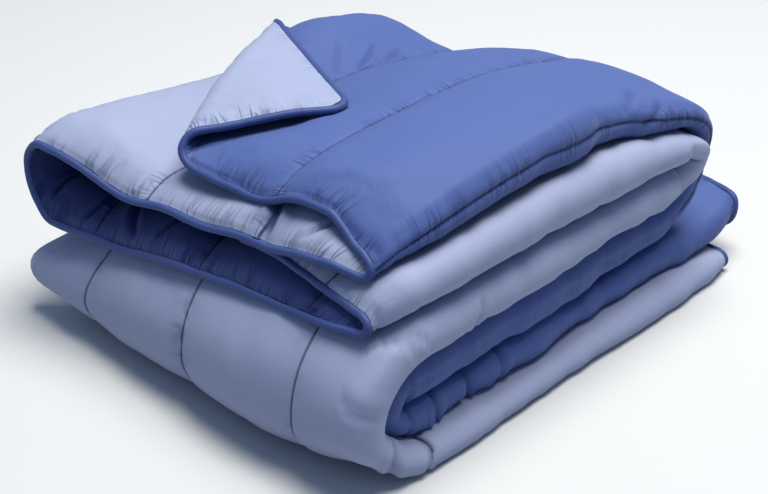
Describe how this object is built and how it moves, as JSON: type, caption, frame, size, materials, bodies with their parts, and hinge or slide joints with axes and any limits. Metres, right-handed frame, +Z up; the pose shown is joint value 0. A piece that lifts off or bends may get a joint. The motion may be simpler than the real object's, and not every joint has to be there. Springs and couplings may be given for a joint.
{
  "type": "folded reversible quilted comforter",
  "caption": "Channel-quilted reversible comforter with corded edges, folded across and in three into a stack, one corner turned back.",
  "frame": {"origin": "centre of the bounding box at its base, where the stack rests", "axes": "+Z up, -Y towards the rounded spine and the open pocket, +X towards the side that shows the rolled folds"},
  "size_m": [0.6698, 0.8451, 0.3587],
  "materials": {
    "quilt_shell": "brushed microfibre with a soft satin sheen, medium blue on one side and pale lavender blue on the other, quilted in straight channels",
    "edge_cord": "blue microfibre sewn round a cord, soft satin sheen"
  },
  "bodies": {
    "root": {"quilted_body": "quilt_shell", "edge_piping": "edge_cord"}
  },
  "joints": []
}
